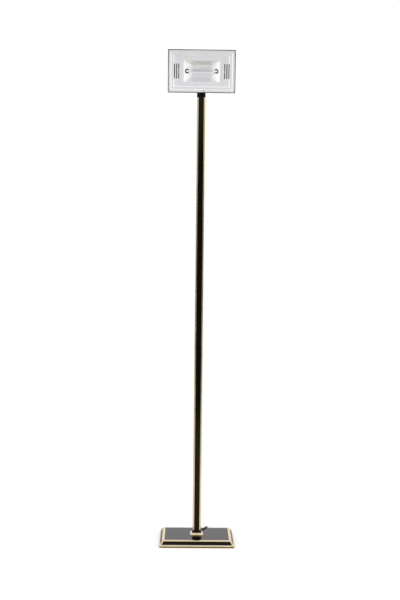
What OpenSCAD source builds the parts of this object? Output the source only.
// Halogen floor lamp: a weighted bevelled base, a square column and a tilting
// rectangular floodlight head that takes a double-ended linear halogen lamp.
// Origin: centre of the base's underside. +Z up, the reflector faces -Y.

/* [Base] */
// Width of the base across the front
base_w = 280; // [230:1:340]
// Depth of the base from front to back
base_d = 216; // [180:1:260]
// Height of the base's top face above the floor
base_h = 25; // [22:0.5:32]
// How far the bevel steps in from the rim to the top face
bevel_in = 12; // [8:0.5:16]
// Height above the floor where the upright rim ends and the bevel starts
rim_z = 8; // [6:0.5:10]
// Thickness of the felt under the base
felt_t = 4; // [2:0.5:5]

/* [Column] */
// Outer width of the square column
col_w = 32; // [28:0.5:36]
// Height of the column's top face above the floor
col_top = 1684; // [1300:1:2050]
// Width of the black strip let into each side of the column
strip_w = 20; // [14:0.5:22]
// Width of the foot collar at its lower edge
collar_w = 49; // [42:0.5:58]

/* [Head] */
// Width of the head
head_w = 250; // [230:1:300]
// Height of the head
head_h = 157; // [146:1:200]
// Depth of the head from the bezel's face to the back wall
head_d = 56; // [52:1:70]
// Angle the head leans forward of upright as drawn
lean = 10; // [0:1:30]
// Visible width of the bronze bezel
bezel_w = 2.5; // [2:0.5:5]
// Depth of the reflector's recess behind its middle field
recess_d = 30; // [28:0.5:34]

/* [Lamp] */
// Overall length of the linear halogen lamp over its contacts
lamp_l = 117.6; // [117:0.1:118]
// Diameter of the lamp's quartz tube
lamp_dia = 11; // [9:0.5:12]
// Travel of each holder's sprung contact
travel = 3; // [2:0.5:3]

/* [Flex] */
// Diameter of the round flex
flex = 4.5; // [4:0.25:5]

/* [Hidden] */
$fn = 48;

// Base
shell_t = 2.5;
bevel_rise = base_h - rim_z;
bevel_angle = atan2(bevel_rise, bevel_in);
bevel_len = sqrt(bevel_rise * bevel_rise + bevel_in * bevel_in);
top_w = base_w - 2 * bevel_in;
top_d = base_d - 2 * bevel_in;
field_t = 0.8;
top_border = 7;
bevel_lo = 2.5;
bevel_hi = 4;
bevel_end = 6;
weight_top = base_h - shell_t;
weight_w = top_w - 8;
weight_d = top_d - 8;

// Column and foot
col_h2 = col_w / 2;
col_wall = 2.2;
col_in = col_w - 2 * col_wall;
collar_h = 8;
collar_top = base_h + collar_h;
ferrule_h = 9.5;
ferrule_w = col_w + 3;
ferrule_top = collar_top + ferrule_h;
cap_t = 3;
tube_top = col_top - cap_t;
plate_t = 6;
bolt_r = 5;
bolt_hole_r = bolt_r + 0.5;
bolt_head_r = 8;
bolt_head_h = 4.5;
bolt_key_r = 4.6;
bolt_seat = felt_t + 2;
washer_r = 12;
washer_h = 1.5;
corner_r = 2.5;
grub_r = 2;
grub_l = 4.2;
grub_z = base_h + 3.6;
collar_lip = 1.5;

// Tilt joint
// The axis is high enough for the knuckle to clear the column's cap, and for
// the head's floor to clear the cap's edge when the head is tilted right down.
knuckle_r = 7.8;
knuckle_gap = 0.8;
edge_gap = 1.5;
tilt_down = 50;
head_lo = 8.4;
axis_z = col_top + max(knuckle_r + knuckle_gap,
                       (col_h2 * sin(tilt_down) - head_lo + edge_gap) / cos(tilt_down));
pin_r = 3;
run_gap = 0.05;
tongue_t = 11;
pivot_head_r = 4.5;
pivot_head_t = 2.8;
pivot_inset = 0.2;
washer_t = 0.8;
cheek_in = tongue_t / 2 + washer_t + run_gap;

// Head, measured from the tilt axis
head_back = 8;
head_front = head_back - head_d;
head_mid = head_lo + head_h / 2;
wall = 1.6;
bezel_d = 6;
bezel_back = head_front + bezel_d;
sheet = 1.5;
plate_y = head_front + 1.2;
ledge_y = plate_y + sheet;
flange_w = head_w - 2 * bezel_w - 0.4;
flange_h = head_h - 2 * bezel_w - 0.4;
ledge_in = 17;
screw_r = 1.5;
screw_x = 8;
screw_z = head_mid - head_h / 2 + 6.8;
step_1 = 10.4;
step_2 = 20.9;
step_drop = 2.5;
field_y = plate_y + 2 * step_drop;
mouth_h = 76;
floor_h = 45;
cap_r = 3.75;
cap_end = lamp_l / 2 - 1;
cap_len = 10.8;
tube_half = cap_end - 20.8;
hole_x = cap_end - 3.8;
hole_r = 8.5;
mouth_w = 2 * (hole_x + 13);
floor_w = 2 * (hole_x - 16.5);
slot_w = 3.4;
slot_half = 27;
slot_in = 24;
slot_pitch = 8;
slots_x = [for (k = [0 : 2]) head_w / 2 - slot_in - k * slot_pitch];
vents = 6;
vent_pitch = 26;
vent_w = 18;
vent_h = 3;
vent_z = 58;
bracket_screw_x = 25;
bracket_screw_y = -18;
bracket_screw_r = 2;
bracket_head_r = 3.5;
bracket_head_h = 1.5;
slope_x = (mouth_w - floor_w) / 2;
lamp_y = field_y + recess_d * (mouth_w / 2 - hole_x) / slope_x;
contact_gap = 0.35;
collar_l = 0.65;
holder_x = cap_end + contact_gap + collar_l + travel + 0.5;
holder_len = 14;
holder_r = 8;
contact_r = 1.8;
strap_t = 1.5;
strap_x = holder_x + holder_len;

// Flex: the free stretch from the strain relief to the hank, then the
// stretch from the hank to the plug. Both lie where they were laid by hand.
flex_r = flex / 2;
flex_route = [
    [13.6, 38.6, 32.8], [18, 49, 30.4], [22, 58.5, 28.5], [26.5, 69, 27.6],
    [31, 79.5, 27.5], [35, 89, 27.6], [38.5, 97, 27.3], [43, 104.5, 23.6],
    [49.5, 111, 17.5], [58, 115, 11.5], [67.5, 115.5, 8], [77, 115.5, 6.75]
];
plug_route = [
    [-8, 165, 2.3], [-24, 165, 2.3], [-38, 163, 2.3], [-50, 157.5, 2.6], [-60, 148.5, 3.4],
    [-68, 138, 4.6], [-76, 129, 5.9], [-85, 124.5, 6.5], [-94, 124, 6.5]
];
hank_x = 35;
hank_run = 90;
hank_low = [108.75, 167.25];
hank_high = [113.25, 153.75];
plug_x = plug_route[8][0];
plug_y = plug_route[8][1];
plug_z = plug_route[8][2];
plug_l = 17;
plug_w = 24;

// Strain relief: its small end is where the flex starts, and it points
// back along the flex's first stretch into the foot of the column. Its cone
// stops just short of the column's back face.
relief_tip = flex_route[0];
relief_way = flex_route[0] - flex_route[1];
relief_seat = (relief_tip[1] - col_h2) * norm(relief_way) / -relief_way[1];
relief_l = relief_seat - 1.08;
relief_r = 4;

// Point i of the list p, held at the first and last points.
function at(p, i) = p[max(0, min(len(p) - 1, i))];
// A cubic from b to c with a and d as its neighbours, t from 0 to 1.
function smooth(a, b, c, d, t) = 0.5 * (2 * b + (c - a) * t
    + (2 * a - 5 * b + 4 * c - d) * t * t
    + (3 * b - a - 3 * c + d) * t * t * t);
// A smooth curve through the points p, with n steps between each pair.
function curve(p, n) = concat(
    [for (i = [0 : len(p) - 2]) for (k = [0 : n - 1])
        smooth(at(p, i - 1), p[i], p[i + 1], at(p, i + 2), k / n)],
    [p[len(p) - 1]]);
function unit(v) = v / norm(v);
function heading(p, i) = i == 0 ? unit(p[1] - p[0])
    : i == len(p) - 1 ? unit(p[i] - p[i - 1])
    : unit(unit(p[i + 1] - p[i]) + unit(p[i] - p[i - 1]));
// A side direction carried along the curve without twisting.
function side(p, i) = i == 0 ? unit(cross(heading(p, 0), [0.1, 0.2, 1]))
    : let (s = side(p, i - 1), h = heading(p, i)) unit(s - (s * h) * h);

// A round bar swept along a list of points, closed at both ends.
module bar(p, r, n = 10) {
    ring = [for (i = [0 : len(p) - 1])
        let (h = heading(p, i), s = side(p, i), u = cross(h, s))
        for (k = [0 : n - 1]) p[i] + r * (cos(360 * k / n) * s + sin(360 * k / n) * u)];
    last = (len(p) - 1) * n;
    polyhedron(ring, concat(
        [[for (k = [0 : n - 1]) k]],
        [for (i = [0 : len(p) - 2]) for (k = [0 : n - 1])
            [i * n + k, (i + 1) * n + k, (i + 1) * n + (k + 1) % n, i * n + (k + 1) % n]],
        [[for (k = [0 : n - 1]) last + n - 1 - k]]));
}

// A block given by its low and high corners.
module block(lo, hi) {
    translate(lo) cube(hi - lo);
}

// A block centred on X and Y, from z0 to z1.
module slab(w, d, z0, z1) {
    block([-w / 2, -d / 2, z0], [w / 2, d / 2, z1]);
}

// Four-sided frustum: a w0 x d0 rectangle at z0 to a w1 x d1 rectangle at z1.
module frustum(w0, d0, z0, w1, d1, z1) {
    polyhedron(
        [[-w0 / 2, -d0 / 2, z0], [w0 / 2, -d0 / 2, z0], [w0 / 2, d0 / 2, z0], [-w0 / 2, d0 / 2, z0],
         [-w1 / 2, -d1 / 2, z1], [w1 / 2, -d1 / 2, z1], [w1 / 2, d1 / 2, z1], [-w1 / 2, d1 / 2, z1]],
        [[0, 1, 2, 3], [7, 6, 5, 4], [0, 4, 5, 1], [1, 5, 6, 2], [2, 6, 7, 3], [3, 7, 4, 0]]);
}

// Black field of one bevel, long edge w, laid in the slope, t thick.
module field(w, t) {
    lean_in = bevel_in / bevel_len;
    lo = w / 2 - bevel_end - bevel_lo * lean_in;
    hi = w / 2 - bevel_end - (bevel_len - bevel_hi) * lean_in;
    translate([0, 0, -t]) linear_extrude(t)
        polygon([[-lo, bevel_lo], [lo, bevel_lo], [hi, bevel_len - bevel_hi], [-hi, bevel_len - bevel_hi]]);
}

// Places a bevel field on the side that turn degrees from the front.
module on_bevel(turn, half) {
    rotate([0, 0, turn]) translate([0, -half, rim_z]) rotate([bevel_angle, 0, 0]) children();
}

// The head's own frame: origin on the tilt axis, leaned forward.
module head() {
    translate([0, 0, axis_z]) rotate([lean, 0, 0]) children();
}

// A ring-shaped frame standing in the head: w x h outside, iw x ih inside.
module frame(w, h, iw, ih, y0, y1) {
    difference() {
        block([-w / 2, y0, head_mid - h / 2], [w / 2, y1, head_mid + h / 2]);
        block([-iw / 2, y0 - 1, head_mid - ih / 2], [iw / 2, y1 + 1, head_mid + ih / 2]);
    }
}

// A cylinder along X from x0 to x1 at y, z.
module rod_x(r, x0, x1, y = 0, z = 0) {
    translate([x0, y, z]) rotate([0, 90, 0]) cylinder(r = r, h = x1 - x0);
}

// A cylinder along Y from y0 to y1 at x, z.
module rod_y(r, x, z, y0, y1) {
    translate([x, y0, z]) rotate([-90, 0, 0]) cylinder(r = r, h = y1 - y0);
}

// Turns +Z to point along a direction, from the point at.
module aim(at, way) {
    translate(at) rotate([0, acos(way[2] / norm(way)), atan2(way[1], way[0])]) children();
}

// The hole in the foot of the column that the strain relief fills.
module relief_hole() {
    aim(relief_tip, relief_way) translate([0, 0, relief_l - 9]) cylinder(r = relief_r, h = 15);
}

// ---- Base ----

module felt_pad() {
    color("#2b2825") slab(base_w - 2, base_d - 2, 0, felt_t);
}

module base_weight() {
    color("#4b4c4e") difference() {
        slab(weight_w - 0.4, weight_d - 0.4, felt_t, weight_top);
        translate([0, 0, felt_t - 1])
            cylinder(r = washer_r + 2, h = bolt_seat + bolt_head_h + washer_h - felt_t + 1);
        cylinder(r = bolt_hole_r, h = base_h);
    }
}

module base_shell() {
    color("#cfae6e") difference() {
        union() {
            slab(base_w, base_d, felt_t, rim_z);
            frustum(base_w, base_d, rim_z, top_w, top_d, base_h);
        }
        slab(weight_w, weight_d, felt_t - 1, weight_top);
        slab(base_w - 16, base_d - 16, felt_t - 1, rim_z);
        slab(top_w - 2 * top_border, top_d - 2 * top_border, base_h - field_t, base_h + 1);
        for (k = [0, 180]) on_bevel(k, base_d / 2) field(base_w, field_t);
        for (k = [90, 270]) on_bevel(k, base_w / 2) field(base_d, field_t);
        cylinder(r = bolt_hole_r, h = base_h + 1);
    }
}

module top_panel() {
    color("#161614") difference() {
        slab(top_w - 2 * top_border, top_d - 2 * top_border, base_h - field_t, base_h);
        cylinder(r = bolt_hole_r, h = base_h + 1);
    }
}

module bevel_front() { color("#1b1917") on_bevel(0, base_d / 2) field(base_w, field_t); }
module bevel_back() { color("#1b1917") on_bevel(180, base_d / 2) field(base_w, field_t); }
module bevel_left() { color("#1b1917") on_bevel(270, base_w / 2) field(base_d, field_t); }
module bevel_right() { color("#1b1917") on_bevel(90, base_w / 2) field(base_d, field_t); }

module base_bolt() {
    color("#a9acb0") translate([0, 0, bolt_seat]) difference() {
        union() {
            cylinder(r = bolt_head_r, h = bolt_head_h);
            cylinder(r = bolt_r, h = base_h + 8 - bolt_seat);
        }
        translate([0, 0, -1]) cylinder(r = bolt_key_r, h = 4, $fn = 6);
    }
}

module base_washer() {
    color("#b4b6b9") translate([0, 0, bolt_seat + bolt_head_h]) difference() {
        cylinder(r = washer_r, h = washer_h);
        translate([0, 0, -1]) cylinder(r = bolt_hole_r, h = washer_h + 2);
    }
}

module foot_nut_plate() {
    color("#8b8d90") difference() {
        slab(col_in, col_in, base_h, base_h + plate_t);
        translate([0, 0, base_h - 1]) cylinder(r = bolt_r, h = plate_t + 2);
    }
}

// ---- Column ----

module foot_collar() {
    color("#d6b877") difference() {
        union() {
            slab(collar_w, collar_w, base_h, base_h + collar_lip);
            frustum(collar_w, collar_w, base_h + collar_lip, ferrule_w + 1.5, ferrule_w + 1.5, collar_top);
        }
        slab(col_w, col_w, base_h - 1, collar_top + 1);
        rod_y(grub_r, 0, grub_z, -collar_w, -col_h2 + 1);
        relief_hole();
    }
}

module collar_screw() {
    color("#8f8f91") difference() {
        rod_y(grub_r, 0, grub_z, -col_h2 - grub_l, -col_h2);
        translate([0, -col_h2 - grub_l - 0.8, grub_z]) rotate([-90, 0, 0])
            cylinder(r = 1.1, h = 2.4, $fn = 6);
    }
}

module foot_ferrule() {
    color("#171615") difference() {
        slab(ferrule_w, ferrule_w, collar_top, ferrule_top);
        slab(col_w, col_w, collar_top - 1, ferrule_top + 1);
        relief_hole();
    }
}

module column_tube() {
    color("#d9bd80") difference() {
        union() {
            slab(col_w - 2 * corner_r, col_w, base_h, tube_top);
            slab(col_w, col_w - 2 * corner_r, base_h, tube_top);
            for (x = [-1, 1]) for (y = [-1, 1])
                translate([x * (col_h2 - corner_r), y * (col_h2 - corner_r), base_h])
                    cylinder(r = corner_r, h = tube_top - base_h);
        }
        slab(col_in, col_in, base_h - 1, tube_top + 1);
        for (k = [0 : 3]) rotate([0, 0, 90 * k])
            block([-strip_w / 2, -col_h2 - 1, base_h - 1], [strip_w / 2, -col_h2 + field_t, tube_top + 1]);
        relief_hole();
    }
}

// One black strip on the side that turn degrees from the front.
module strip(turn) {
    rotate([0, 0, turn]) block([-strip_w / 2, -col_h2, base_h], [strip_w / 2, -col_h2 + field_t, tube_top]);
}

module strip_front() { color("#161614") strip(0); }
module strip_right() { color("#161614") strip(90); }
module strip_left() { color("#161614") strip(270); }
module strip_back() {
    color("#161614") difference() {
        strip(180);
        relief_hole();
    }
}

module column_cap() {
    color("#181716") difference() {
        union() {
            slab(col_w, col_w, tube_top, col_top);
            slab(col_in, col_in, tube_top - 20, tube_top);
            slab(tongue_t, 2 * knuckle_r, col_top, axis_z);
            rod_x(knuckle_r, -tongue_t / 2, tongue_t / 2, 0, axis_z);
        }
        rod_x(pin_r + run_gap, -tongue_t, tongue_t, 0, axis_z);
    }
}

// ---- Tilt joint ----

// Fibre washer against the tongue's side at x0.
module friction_washer(x0) {
    translate([0, 0, axis_z]) difference() {
        rod_x(7, x0, x0 + washer_t);
        rod_x(pin_r + run_gap, x0 - 1, x0 + washer_t + 1);
    }
}

module friction_washer_left() { color("#6b4a32") friction_washer(-tongue_t / 2 - washer_t); }
module friction_washer_right() { color("#6b4a32") friction_washer(tongue_t / 2); }

module pivot_bolt() {
    color("#3a3a3b") head() difference() {
        union() {
            rod_x(pin_r, -col_h2 + pivot_head_t + pivot_inset, col_h2 - pivot_inset);
            rod_x(pivot_head_r, col_h2 - pivot_head_t - pivot_inset, col_h2 - pivot_inset);
        }
        translate([col_h2 - 2.2, 0, 0]) rotate([0, 90, 0]) cylinder(r = 2.3, h = 3, $fn = 6);
    }
}

module pivot_nut() {
    color("#3a3a3b") head() difference() {
        rod_x(pivot_head_r, -col_h2 + pivot_inset, -col_h2 + pivot_head_t + pivot_inset);
        rod_x(1.5, -col_h2 - 1, -col_h2 + 1.2);
    }
}

// One cheek of the bracket on side s, -1 or 1.
module cheek(s) {
    x0 = s > 0 ? cheek_in : -col_h2;
    x1 = s > 0 ? col_h2 : -cheek_in;
    block([x0, -knuckle_r, 0], [x1, knuckle_r, head_lo + wall]);
    rod_x(knuckle_r, x0, x1);
}

module head_bracket() {
    floor_z = head_lo + wall;
    color("#191817") head() difference() {
        union() {
            cheek(-1);
            cheek(1);
            block([-32, -28, floor_z], [32, head_back - wall, floor_z + 2.5]);
        }
        rod_x(pin_r, -col_w, col_w);
        rod_x(pivot_head_r, col_h2 - pivot_head_t - pivot_inset, col_w);
        rod_x(pivot_head_r, -col_w, -col_h2 + pivot_head_t + pivot_inset);
        for (x = [-bracket_screw_x, bracket_screw_x])
            translate([x, bracket_screw_y, floor_z - 1]) cylinder(r = bracket_screw_r, h = 5);
    }
}

// Countersunk screw that holds the bracket to the housing's floor.
module bracket_screw(x) {
    head() translate([x, bracket_screw_y, head_lo]) {
        difference() {
            cylinder(r1 = bracket_head_r, r2 = bracket_screw_r, h = bracket_head_h);
            translate([0, 0, -1]) cylinder(r = 1.4, h = 1.9, $fn = 6);
        }
        translate([0, 0, bracket_head_h - 0.1]) cylinder(r = bracket_screw_r, h = 6.6);
    }
}

module bracket_screw_left() { color("#2c2c2d") bracket_screw(-bracket_screw_x); }
module bracket_screw_right() { color("#2c2c2d") bracket_screw(bracket_screw_x); }

// ---- Head ----

module housing() {
    color("#191817") head() difference() {
        block([-head_w / 2, bezel_back, head_lo], [head_w / 2, head_back, head_lo + head_h]);
        block([-head_w / 2 + wall, bezel_back - 1, head_lo + wall],
              [head_w / 2 - wall, head_back - wall, head_lo + head_h - wall]);
        for (s = [-1, 1]) {
            x0 = s > 0 ? cheek_in : -col_h2;
            x1 = s > 0 ? col_h2 : -cheek_in;
            block([x0, -knuckle_r, head_lo - 1], [x1, knuckle_r, head_lo + 3]);
            translate([bracket_screw_x * s, bracket_screw_y, head_lo]) {
                translate([0, 0, -1]) cylinder(r = bracket_head_r, h = 1.001);
                cylinder(r1 = bracket_head_r, r2 = bracket_screw_r, h = bracket_head_h);
                cylinder(r = bracket_screw_r, h = 4);
            }
        }
        for (k = [0 : vents - 1]) for (z = [head_mid - vent_z, head_mid + vent_z])
            translate([(k - (vents - 1) / 2) * vent_pitch, 0, z])
                block([-vent_w / 2, 0, -vent_h / 2], [vent_w / 2, head_back + 1, vent_h / 2]);
    }
}

module bezel() {
    color("#4a3f2c") head() difference() {
        union() {
            frame(head_w, head_h, head_w - 2 * bezel_w, head_h - 2 * bezel_w, head_front, bezel_back);
            frame(head_w - 1, head_h - 1, head_w - ledge_in, head_h - ledge_in, ledge_y, bezel_back);
        }
        rod_y(screw_r, screw_x, screw_z, head_front, bezel_back + 1);
    }
}

// Four-sided funnel of the recess; grow widens it, y0 and y1 are its ends.
module funnel(grow, y0, y1) {
    k = slope_x / recess_d;
    kh = (mouth_h - floor_h) / 2 / recess_d;
    w0 = mouth_w + 2 * (grow - k * (y0 - field_y));
    h0 = mouth_h + 2 * (grow - kh * (y0 - field_y));
    w1 = mouth_w + 2 * (grow - k * (y1 - field_y));
    h1 = mouth_h + 2 * (grow - kh * (y1 - field_y));
    translate([0, 0, head_mid]) rotate([-90, 0, 0])
        frustum(w0, h0, y0, w1, h1, y1);
}

// One pressed step of the reflector: w x h at y0, its sides sloping in at
// 45 degrees to y1, and carried on outwards by ahead in front of y0.
module step_dish(w, h, y0, y1, ahead) {
    in = 2 * (y1 - y0);
    translate([0, 0, head_mid]) rotate([-90, 0, 0])
        frustum(w + 2 * ahead, h + 2 * ahead, y0 - ahead, w - in, h - in, y1);
}

module reflector() {
    w1 = head_w - 2 * step_1;
    h1 = head_h - 2 * step_1;
    w2 = head_w - 2 * step_2;
    h2 = head_h - 2 * step_2;
    step_y = plate_y + step_drop;
    floor_y = field_y + recess_d;
    color("#d8d8d6") head() difference() {
        union() {
            block([-flange_w / 2, plate_y, head_mid - flange_h / 2],
                  [flange_w / 2, ledge_y, head_mid + flange_h / 2]);
            step_dish(w1, h1, ledge_y, step_y + sheet, 0.5);
            step_dish(w2, h2, step_y + sheet, field_y + sheet, 0.5);
            funnel(1.8, field_y + 0.6, floor_y + 1.2);
        }
        step_dish(w1, h1, plate_y, step_y, 1);
        step_dish(w2, h2, step_y, field_y, 1);
        funnel(0, field_y - 1, floor_y);
        for (s = [-1, 1]) {
            x0 = s > 0 ? hole_x - 14 : -hole_x - 20;
            rod_x(hole_r, x0, x0 + 34, lamp_y, head_mid);
            for (x = slots_x)
                block([s * x - slot_w / 2, head_front, head_mid - slot_half],
                      [s * x + slot_w / 2, field_y + 4, head_mid + slot_half]);
        }
        rod_y(screw_r, screw_x, screw_z, head_front - 1, bezel_back);
    }
}

module reflector_screw() {
    color("#b9b9b9") head() union() {
        rod_y(2 * screw_r, screw_x, screw_z, plate_y - 1.1, plate_y);
        rod_y(screw_r, screw_x, screw_z, plate_y - 0.2, plate_y + 9);
    }
}

module back_plate() {
    color("#1f1e1d") head() difference() {
        block([-58, head_back, head_mid - 34], [58, head_back + 5, head_mid + 34]);
        for (x = [-50, 50]) for (z = [-26, 26])
            rod_y(2.6, x, head_mid + z, head_back + 3, head_back + 6);
    }
}

// Ceramic holder on side s, bored for its sprung contact.
module holder(s) {
    y = lamp_y;
    z = head_mid;
    head() mirror([s < 0 ? 1 : 0, 0, 0]) difference() {
        union() {
            rod_x(holder_r, holder_x, strap_x, y, z);
            block([holder_x + 5, y - holder_r, z - 9.5], [strap_x, y + 11, z + 9.5]);
        }
        rod_x(contact_r + run_gap, holder_x - 1, strap_x - 2, y, z);
    }
}

module holder_left() { color("#efece4") holder(-1); }
module holder_right() { color("#efece4") holder(1); }

// Steel strap from the holder's end face to the housing's back wall.
module strap(s) {
    y1 = head_back - wall;
    head() mirror([s < 0 ? 1 : 0, 0, 0]) union() {
        block([strap_x, lamp_y - 6, head_mid - 9], [strap_x + strap_t, y1, head_mid + 9]);
        block([strap_x, y1 - strap_t, head_mid - 9], [strap_x + 14, y1, head_mid + 9]);
    }
}

module strap_left() { color("#9c9ea1") strap(-1); }
module strap_right() { color("#9c9ea1") strap(1); }

// Sprung contact that presses on the lamp's end.
module contact(s) {
    head() mirror([s < 0 ? 1 : 0, 0, 0]) union() {
        rod_x(contact_r, cap_end + contact_gap, strap_x - 2 - travel - 1.5, lamp_y, head_mid);
        rod_x(3, cap_end + contact_gap, cap_end + contact_gap + collar_l, lamp_y, head_mid);
    }
}

module contact_left() { color("#b08a4a") contact(-1); }
module contact_right() { color("#b08a4a") contact(1); }

module lamp_tube() {
    r = lamp_dia / 2;
    z = head_mid;
    color([0.9, 0.92, 0.94, 0.45]) head() difference() {
        union() {
            rod_x(r, -tube_half, tube_half, lamp_y, z);
            for (s = [0, 1]) mirror([s, 0, 0]) {
                translate([tube_half - 0.1, lamp_y, z]) rotate([0, 90, 0]) cylinder(r1 = r, r2 = 2.4, h = 4);
                block([tube_half + 3, lamp_y - 1.2, z - 3], [cap_end - cap_len, lamp_y + 1.2, z + 3]);
            }
        }
        rod_x(r - 1, -tube_half + 0.5, tube_half - 0.5, lamp_y, z);
    }
}

// Ceramic end cap of the lamp on side s.
module lamp_cap(s) {
    head() mirror([s < 0 ? 1 : 0, 0, 0]) difference() {
        rod_x(cap_r, cap_end - cap_len, cap_end, lamp_y, head_mid);
        rod_x(1.6, cap_end - 0.8, cap_end + 1, lamp_y, head_mid);
    }
}

module lamp_cap_left() { color("#f4f1ea") lamp_cap(-1); }
module lamp_cap_right() { color("#f4f1ea") lamp_cap(1); }

module filament() {
    color("#77777a") head() rod_x(0.9, -tube_half + 0.5, tube_half - 0.5, lamp_y, head_mid);
}

module terminal_block() {
    y1 = head_back - wall;
    color("#eae6dc") head() difference() {
        block([-15, y1 - 12, head_mid + 30], [15, y1, head_mid + 46]);
        for (x = [-8, 8]) {
            translate([x, y1 - 7, head_mid + 29]) cylinder(r = 1.8, h = 18);
            rod_y(2, x, head_mid + 38, y1 - 13, y1 - 7);
        }
    }
}

// ---- Wiring ----

module column_lead() {
    r = 7;
    end = relief_tip + relief_way / norm(relief_way) * (relief_l + 6);
    turn = atan2(-relief_way[0], -relief_way[1]);
    color("#1b1b1b") translate([end[0], end[1], end[2]]) rotate([0, 0, -turn]) union() {
        translate([0, -r, r]) cylinder(r = flex_r, h = tube_top - 22 - end[2] - r);
        translate([0, 0, r]) rotate([90, 0, 90]) rotate([0, 0, 180])
            rotate_extrude(angle = 78) translate([r, 0]) circle(r = flex_r);
    }
}

module strain_relief() {
    color("#141414") aim(relief_tip, relief_way) difference() {
        union() {
            cylinder(r1 = 3, r2 = relief_r, h = relief_l - 4);
            translate([0, 0, relief_l - 4]) cylinder(r = relief_r, h = 8.5);
        }
        translate([0, 0, relief_l]) cylinder(r = flex_r, h = 9);
    }
}

module flex_cord() {
    color("#151515") bar(curve(flex_route, 3), flex_r, 8);
}

// Outline of a hank whose runs end on half circles, from y[0] to y[1].
module hank_outline(y) {
    d = y[1] - y[0];
    translate([hank_x, (y[0] + y[1]) / 2]) {
        square([hank_run, d], center = true);
        for (s = [-1, 1]) translate([s * hank_run / 2, 0]) circle(r = d / 2);
    }
}

module cord_hank() {
    color("#151515") {
        linear_extrude(flex) hank_outline(hank_low);
        linear_extrude(2 * flex) hank_outline(hank_high);
    }
}

// Strap across the hank: low over the outer runs, high over the inner ones.
module hank_tie() {
    t = 0.6;
    y0 = hank_low[0];
    y1 = hank_low[1];
    color("#101010") translate([hank_x - 4, 0, 0]) difference() {
        union() {
            block([0, y0 - t, 0], [8, y1 + t, flex + t]);
            block([0, hank_high[0] - t, 0], [8, hank_high[1] + t, 2 * flex + t]);
        }
        block([-1, y0, -1], [9, y1, flex]);
        block([-1, hank_high[0], -1], [9, hank_high[1], 2 * flex]);
    }
}

module plug_cord() {
    color("#151515") bar(curve(plug_route, 2), flex_r, 8);
}

module plug_body() {
    y = plug_y;
    z = plug_z;
    color("#121212") union() {
        translate([plug_x, y, z]) rotate([0, -90, 0]) cylinder(r1 = 3, r2 = 4.5, h = 12);
        block([plug_x - 12 - plug_l, y - plug_w / 2, 0], [plug_x - 12, y + plug_w / 2, 2 * z]);
    }
}

// Flat blade of the plug, on side s of its middle.
module blade(s) {
    x1 = plug_x - 12 - plug_l;
    y = plug_y + s * 6.35;
    block([x1 - 16, y - 0.75, plug_z - 3.15], [x1, y + 0.75, plug_z + 3.15]);
}

module plug_blade_left() { color("#c8b070") blade(-1); }
module plug_blade_right() { color("#c8b070") blade(1); }

felt_pad();
base_weight();
base_shell();
top_panel();
bevel_front();
bevel_back();
bevel_left();
bevel_right();
base_bolt();
base_washer();
foot_nut_plate();
foot_collar();
collar_screw();
foot_ferrule();
column_tube();
strip_front();
strip_back();
strip_left();
strip_right();
column_cap();
friction_washer_left();
friction_washer_right();
pivot_bolt();
pivot_nut();
head_bracket();
bracket_screw_left();
bracket_screw_right();
housing();
bezel();
reflector();
reflector_screw();
back_plate();
holder_left();
holder_right();
strap_left();
strap_right();
contact_left();
contact_right();
lamp_tube();
lamp_cap_left();
lamp_cap_right();
filament();
terminal_block();
column_lead();
strain_relief();
flex_cord();
cord_hank();
hank_tie();
plug_cord();
plug_body();
plug_blade_left();
plug_blade_right();
